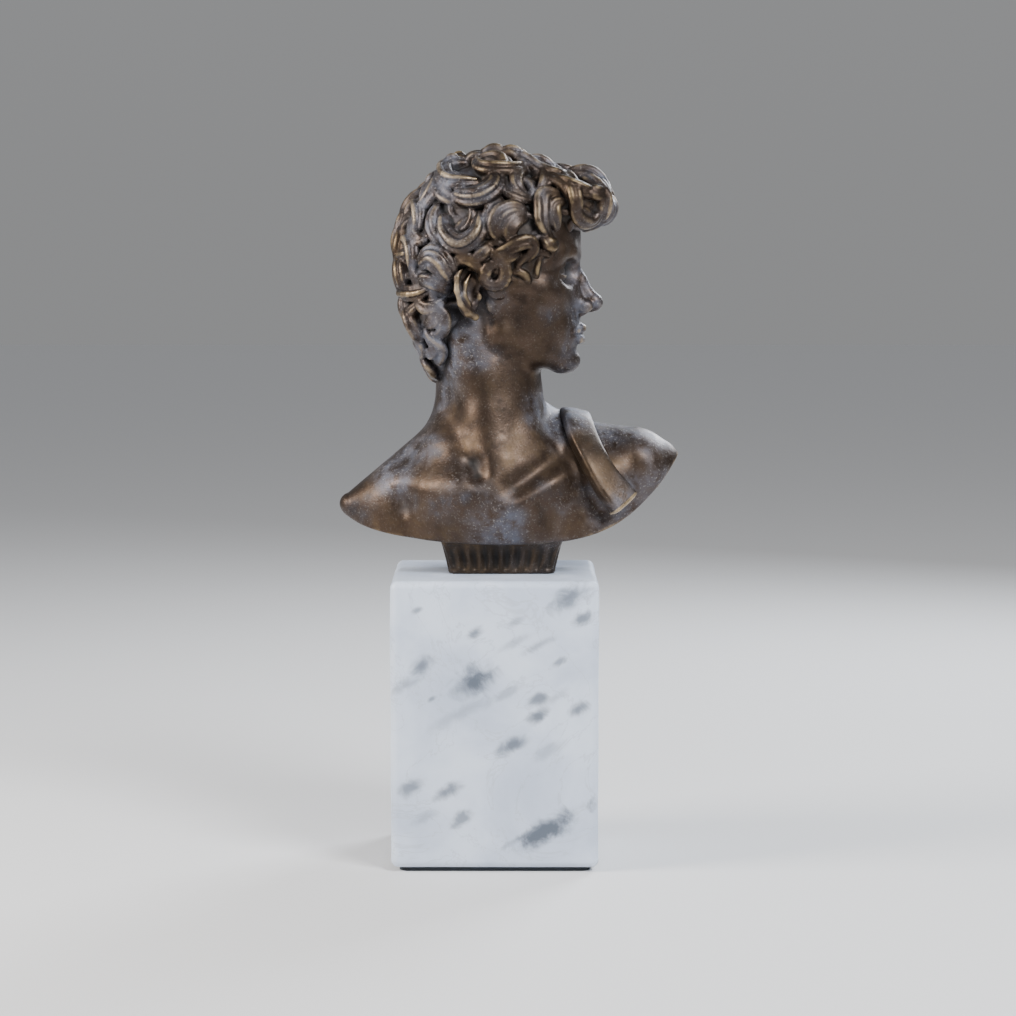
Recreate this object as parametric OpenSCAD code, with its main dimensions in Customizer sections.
// Figure bust on a marble block. A hollow bronze casting stands on a bronze foot, and one steel
// stud runs from the foot through the block to a nut in a counterbore that the felt pad covers.
// Millimetres, +Z up, front facing -Y, origin at the middle of the pad's underside.

/* [Marble block] */
// Width of the block across its front
block_w = 60; // [52:1:80]
// Depth of the block from front to back
block_d = 60; // [52:1:80]
// Height of the block
block_h = 83; // [60:1:110]
// Radius of the block's softened edges
block_edge_r = 2.2; // [1:0.1:4]

/* [Felt pad] */
// Thickness of the felt
pad_t = 1.2; // [0.8:0.1:2]
// How far the felt stops short of the block's sides
pad_inset = 2.5; // [1:0.5:6]

/* [Stud and nut] */
// Nominal diameter of the stud
stud_d = 6; // [5:1:8]
// Diameter of the hole drilled through the block
block_bore_d = 8; // [7:0.5:10]
// Diameter of the counterbore for the nut
counterbore_d = 24; // [20:1:28]
// Depth of the counterbore
counterbore_h = 14; // [12:1:18]
// How far the stud screws up into the foot
stud_engagement = 9; // [7:1:10]

/* [Foot] */
// Width of the foot where it meets the bust
foot_top_w = 36; // [30:1:42]
// Width of the foot where it stands on the block
foot_bottom_w = 31; // [26:1:36]
// Depth of the foot at its top
foot_top_d = 26; // [22:1:30]
// Depth of the foot at its bottom
foot_bottom_d = 21; // [18:1:26]
// Height of the foot
foot_h = 10.5; // [9:0.5:12]

/* [Bust] */
// How far the bust stands to the right of the block's middle
bust_offset = 2; // [0:0.5:4]
// Height of the head from chin to crown, without its hair
head_h = 61; // [55:0.5:66]
// Turn of the head to its own left, 0 looking straight ahead
head_turn = 86; // [0:1:90]
// Height of the keel, the lowest line of the cut chest, above the foot's underside
keel_h = 9; // [8:0.5:10]
// Thickness of the bronze wall
wall = 3.4; // [2.6:0.1:4]

/* [Strap] */
// Width of the strap that lies over the left shoulder
strap_w = 9; // [8:0.5:12]
// Thickness of the strap
strap_t = 4.2; // [3:0.1:5]

/* [Hidden] */

fine = 64;
rough = 20;
gap = 0.05;
keel_drop = 30;

// Heights of the stack, from the pad upwards.
block_z = pad_t;
block_top = block_z + block_h;
seat_z = block_z + counterbore_h;

// Fasteners, after the usual proportions of a metric nut and washers.
nut_af = stud_d * 5 / 3;
nut_h = stud_d * 0.83;
washer_od = stud_d * 3;
washer_t = 1.6;
spring_od = stud_d * 1.97;
spring_t = 1.6;
stud_tail = 2;
stud_z = seat_z - washer_t - spring_t - nut_h - stud_tail;
stud_len = block_top + stud_engagement - stud_z;

// The foot's spigot plugs the hole that the casting's core came out of.
spigot_w = 26;
spigot_d = 14;
spigot_h = 5;

// One eye width is the head's own measure: 7.5 of them from chin to crown, 5 across the face.
eye = head_h / 7.5;
head_mid = [-1, 3, 88];

// The balls that the torso is drawn over, in the bust's frame: [middle, radius, half its depth].
right_root = [[-12, 4, 30], 17, 21];
right_slope = [[-30, 4, 23], 12.3, 14];
right_tip = [[-44.2, 4, 18.5], 3.9, 7];
left_root = [[11, 4, 28], 15, 21];
left_rise = [[17, 6, 35], 12, 13];
left_top = [[38, 5, 32], 10, 15];
left_tip = [[48, 6, 30.5], 4, 8];
chest = [[1, 1, 24], 20, 23];
neck_low = [[-3, 6, 42], 18, 17];
neck_high = [[-3, 4, 70], 15, 16];
nape = [[-3, 9, 36], 20, 16];

module ball(spot, r, stretch = [1, 1, 1], facets = 12) {
    translate(spot) scale(stretch) sphere(r, $fn = facets);
}

// A ball of the torso, shrunk by the wall where it is part of the core.
module torso_ball(b, less) {
    ball(b[0], 1, [b[1] - less, b[2] - less, b[1] - less], rough);
}

// The same ball drawn down past the keel, so that the cut alone gives the lower edge.
module torso_post(b, less) {
    torso_ball(b, less);
    translate([0, 0, -keel_drop]) torso_ball(b, less);
}

module rounded_slab(w, d, h, r) {
    linear_extrude(h) union() {
        square([w - 2 * r, d], center = true);
        square([w, d - 2 * r], center = true);
        for (x = [-1, 1], y = [-1, 1]) translate([x * (w / 2 - r), y * (d / 2 - r)]) circle(r, $fn = fine);
    }
}

// ---- Block, pad and fasteners ----

module felt_pad() {
    color("darkgreen") rounded_slab(block_w - 2 * pad_inset, block_d - 2 * pad_inset, pad_t, 3);
}

module marble_block() {
    color("whitesmoke") difference() {
        hull() for (x = [-1, 1], y = [-1, 1], z = [block_edge_r, block_h - block_edge_r]) {
            translate([x * (block_w / 2 - block_edge_r), y * (block_d / 2 - block_edge_r), block_z + z])
                sphere(block_edge_r, $fn = fine / 2);
        }
        translate([bust_offset, 0, 0]) cylinder(d = block_bore_d, h = block_top + 1, $fn = fine);
        translate([bust_offset, 0, 0]) cylinder(d = counterbore_d, h = seat_z, $fn = fine);
    }
}

module stud() {
    color("silver") translate([bust_offset, 0, stud_z]) cylinder(d = stud_d, h = stud_len, $fn = fine);
}

module flat_washer() {
    color("silver") translate([bust_offset, 0, seat_z - washer_t]) difference() {
        cylinder(d = washer_od, h = washer_t, $fn = fine);
        translate([0, 0, -1]) cylinder(d = stud_d + 0.4, h = washer_t + 2, $fn = fine);
    }
}

// A split spring washer, pressed flat, with its slot.
module lock_washer() {
    slot = 1;
    color("dimgray") translate([bust_offset, 0, seat_z - washer_t - spring_t]) difference() {
        cylinder(d = spring_od, h = spring_t, $fn = fine);
        translate([0, 0, -1]) cylinder(d = stud_d + 0.2, h = spring_t + 2, $fn = fine);
        translate([0, -slot / 2, -1]) cube([spring_od, slot, spring_t + 2]);
    }
}

module hex_nut() {
    across_corners = nut_af / cos(30);
    chamfer = 0.6;
    color("silver") translate([bust_offset, 0, seat_z - washer_t - spring_t - nut_h]) difference() {
        intersection() {
            cylinder(d = across_corners, h = nut_h, $fn = 6);
            rotate_extrude($fn = fine) polygon([
                [0, 0], [across_corners / 2 - chamfer, 0], [across_corners / 2, chamfer],
                [across_corners / 2, nut_h - chamfer], [across_corners / 2 - chamfer, nut_h], [0, nut_h]
            ]);
        }
        translate([0, 0, -1]) cylinder(d = stud_d + 2 * gap, h = nut_h + 2, $fn = fine);
    }
}

// ---- Foot ----

module foot() {
    edge_r = 2;
    slice = 0.5;
    color("saddlebrown") translate([bust_offset, 0, block_top]) difference() {
        union() {
            hull() {
                rounded_slab(foot_bottom_w, foot_bottom_d, slice, edge_r);
                translate([0, 0, foot_h - slice]) rounded_slab(foot_top_w, foot_top_d, slice, edge_r);
            }
            translate([-spigot_w / 2, -spigot_d / 2, foot_h - slice]) cube([spigot_w, spigot_d, spigot_h]);
        }
        translate([0, 0, -1]) cylinder(d = stud_d + 2 * gap, h = stud_engagement + 2, $fn = fine);
    }
}

// ---- Bust casting ----

// Height of the cut lower edge at x: it climbs to each shoulder's tip, further on the raised left side.
function keel(x) = keel_h + (x < 0 ? 7.5 * pow(-x / 48, 3) : 24.5 * pow(x / 52, 3.5));

module boat_cut() {
    step = 3;
    rotate([90, 0, 0]) linear_extrude(120, center = true) polygon(concat(
        [for (x = [-60:step:60]) [x, keel(x)]], [[60, 160], [-60, 160]]
    ));
}

module shoulders(less = 0) {
    pairs = [
        [right_root, right_slope], [right_slope, right_tip], [left_root, left_top], [left_top, left_tip],
        [neck_low, left_rise], [left_rise, left_top],
        [right_root, left_root], [right_root, chest], [left_root, chest]
    ];
    for (pair = pairs) hull() {
        torso_post(pair[0], less);
        torso_post(pair[1], less);
    }
}

module neck(less = 0) {
    hull() {
        torso_ball(neck_low, less);
        torso_ball(neck_high, less);
    }
    hull() {
        torso_ball(neck_low, less);
        torso_ball(nape, less);
    }
}

// The head faces -Y in its own frame, in eye widths from its middle: x to the side, y forwards negative.
module head_frame() {
    translate(head_mid) rotate([0, 0, head_turn]) scale(eye) children();
}

module skull(less = 0) {
    hull() {
        ball([0, -0.45, 1.05], 2.5 - less, facets = rough);
        ball([0, 0.8, 1.0], 2.42 - less, facets = rough);
        for (side = [-1, 1]) ball([side * 1.05, -1.6, 1.3], 1.15 - less);
    }
}

module jaw(less = 0) {
    hull() {
        ball([0, -0.6, 0.6], 2.1 - less);
        for (side = [-1, 1]) {
            ball([side * 1.4, -1.4, -0.6], 0.95 - less);
            ball([side * 1.15, -1.75, -1.9], 0.8 - less);
            ball([side * 1.7, -0.2, -1.9], 0.65 - less);
            ball([side * 0.3, -2.25, -3.0], 0.68 - less);
        }
    }
}

module nose() {
    hull() {
        ball([0, -2.75, 0.45], 0.3);
        ball([0, -3.45, -1.2], 0.36);
        for (side = [-1, 1]) ball([side * 0.33, -3.1, -1.33], 0.22);
    }
}

module brow() {
    for (side = [-1, 1]) hull() {
        ball([side * 0.3, -2.72, 0.65], 0.28);
        ball([side * 1.55, -2.1, 0.6], 0.3);
    }
}

module lips() {
    for (z = [-2.12, -2.45]) hull() for (side = [-1, 1]) {
        ball([side * 0.2, -3.02, z], 0.22);
        ball([side * 0.65, -2.72, z * 0.6 - 0.91], 0.14);
    }
}

// Sockets are pressed in beside the nose, and a ball sits in each.
module eye_sockets() {
    for (side = [-1, 1]) ball([side * 1.05, -2.95, 0.05], 0.62, [1.1, 1, 0.8], 10);
}

module eyeballs() {
    for (side = [-1, 1]) ball([side * 1.02, -2.2, 0.05], 0.42, facets = 10);
}

module ear() {
    for (side = [-1, 1]) {
        hull() {
            ball([side * 2.72, 1.0, 0.0], 0.55, [0.45, 0.8, 1], 10);
            ball([side * 2.55, 0.75, -1.7], 0.3, [0.6, 1, 1], 10);
        }
        hull() {
            ball([side * 2.9, 1.2, -0.1], 0.42, [0.5, 0.7, 1], 10);
            ball([side * 2.72, 1.1, -1.2], 0.28, [0.5, 0.7, 1], 10);
        }
    }
}

// The hair grows behind a line from the top of the forehead to the ear, and runs down the nape to a point.
module hair_mass() {
    hairline_lean = 44;
    intersection() {
        hull() {
            ball([0, 0.12, 0.9], 1, [2.85, 3.05, 3.1], rough);
            ball([0, -2.2, 2.45], 1, [1.75, 1.7, 0.95], rough);
        }
        translate([0, -3.2, 1.75]) rotate([hairline_lean, 0, 0]) translate([-5, -0.6, -9]) cube([10, 12, 18]);
    }
    hull() for (side = [-1, 1]) {
        ball([side * 1.1, 1.75, -0.2], 1.3);
        ball([side * 0.9, 1.85, -1.6], 1.05);
        ball([side * 0.3, 1.8, -3.5], 0.5);
    }
}

// One comma-shaped lock: a domed section that thins as it is carried round an arc, with its underside sunk.
module lock(size, sweep) {
    rings = 6;
    sides = 6;
    spots = [for (i = [0:rings], j = [0:sides - 1])
        let (
            t = i / rings,
            turn = sweep * t,
            reach = size * (1 - 0.4 * t),
            thick = size * (0.56 - 0.32 * t),
            out = reach + thick * cos(j * 360 / sides),
            rise = thick * (0.4 + sin(j * 360 / sides)) + 0.2 * size * sin(180 * t)
        )
        [out * cos(turn), out * sin(turn), j > sides / 2 ? -0.35 * size : rise]
    ];
    skin = [for (i = [0:rings - 1], j = [0:sides - 1], half = [0, 1])
        let (a = i * sides + j, b = i * sides + (j + 1) % sides)
        half == 0 ? [a, b, a + sides] : [b, b + sides, a + sides]
    ];
    ends = [[for (j = [sides - 1:-1:0]) j], [for (j = [0:sides - 1]) rings * sides + j]];
    polyhedron(spots, concat(skin, ends), convexity = 4);
}

// Puts a lock on the hair mass at a latitude and a bearing from the back of the head.
module on_scalp(latitude, bearing) {
    n = [sin(bearing) * cos(latitude), cos(bearing) * cos(latitude), sin(latitude)];
    spot = [2.75 * n[0], 0.12 + 2.95 * n[1], 0.9 + 3.0 * n[2]];
    lean = [n[0] / 2.75, n[1] / 2.95, n[2] / 3.0];
    translate(spot)
        rotate([0, atan2(norm([lean[0], lean[1]]), lean[2]), atan2(lean[1], lean[0])])
        children();
}

// Rows of locks from the nape to the crown: [latitude, how many, how far round from the back].
lock_rows = [[-22, 6, 76], [3, 8, 104], [26, 9, 128], [48, 8, 160], [70, 5, 144], [88, 1, 0]];
// Locks of the nape and the forelock: [place, lean away from upright, bearing, size].
more_locks = [
    [[-1.35, 2.35, -1.3], 100, 120, 0.62], [[1.35, 2.35, -1.3], 100, 60, 0.62],
    [[0, 2.85, -1.6], 95, 90, 0.7], [[-0.7, 2.35, -2.6], 95, 110, 0.5], [[0.7, 2.35, -2.6], 95, 70, 0.5],
    [[-1.15, -2.3, 3.1], 12, 180, 0.66], [[1.15, -2.3, 3.1], 12, 0, 0.66], [[0, -3.15, 3.05], 25, 270, 0.74],
    [[-0.8, -3.45, 2.4], 75, 250, 0.62], [[0.8, -3.45, 2.4], 75, 290, 0.62]
];

module locks() {
    for (row = lock_rows, k = [0:row[1] - 1]) {
        share = row[1] == 1 ? 0 : 2 * k / (row[1] - 1) - 1;
        on_scalp(row[0], share * row[2]) rotate([0, 0, 70 * k + row[0]]) lock(0.72, 250);
    }
    for (k = [0:len(more_locks) - 1]) {
        l = more_locks[k];
        translate(l[0]) rotate([0, l[1], l[2]]) rotate([0, 0, 80 * k]) lock(l[3], 255);
    }
}

// The strap comes up over the left shoulder and ends on the chest, a flat band along a chain of stations.
strap_path = [
    [20, 21, 28], [20.3, 19, 36], [20.8, 14, 42.5], [21.4, 5, 46], [22.5, -3, 44],
    [24.5, -8.5, 39], [28, -13, 32], [32, -15.5, 25.5], [35.5, -16.5, 20.5]
];

module strap_station(i) {
    last = len(strap_path) - 1;
    here = strap_path[i];
    way = strap_path[min(i + 1, last)] - strap_path[max(i - 1, 0)];
    lean = atan2(norm([way[0], way[1]]), way[2]);
    translate(here) rotate([0, lean, atan2(way[1], way[0])]) cube([strap_t, strap_w, 0.6], center = true);
}

module strap() {
    for (i = [0:len(strap_path) - 2]) hull() {
        strap_station(i);
        strap_station(i + 1);
    }
}

// The hollow that the casting's core leaves, open through the socket for the foot's spigot.
module core() {
    intersection() {
        union() {
            shoulders(wall);
            neck(wall + 1);
        }
        translate([0, 0, wall]) boat_cut();
    }
    head_frame() {
        skull(wall / eye);
        jaw(wall / eye);
    }
    translate([-spigot_w / 2 - gap, -spigot_d / 2 - gap, 0])
        cube([spigot_w + 2 * gap, spigot_d + 2 * gap, 20]);
}

// The pocket in the keel that the top of the foot lets into.
module foot_pocket() {
    translate([-foot_top_w / 2 - gap, -foot_top_d / 2 - gap, 0])
        cube([foot_top_w + 2 * gap, foot_top_d + 2 * gap, foot_h]);
}

module bust_casting() {
    color("peru") translate([bust_offset, 0, block_top]) difference() {
        union() {
            intersection() {
                union() {
                    shoulders();
                    neck();
                    strap();
                }
                boat_cut();
            }
            head_frame() {
                skull();
                difference() {
                    jaw();
                    eye_sockets();
                }
                eyeballs();
                nose();
                brow();
                lips();
                ear();
                hair_mass();
                locks();
            }
        }
        core();
        foot_pocket();
    }
}

felt_pad();
hex_nut();
lock_washer();
flat_washer();
stud();
marble_block();
foot();
bust_casting();
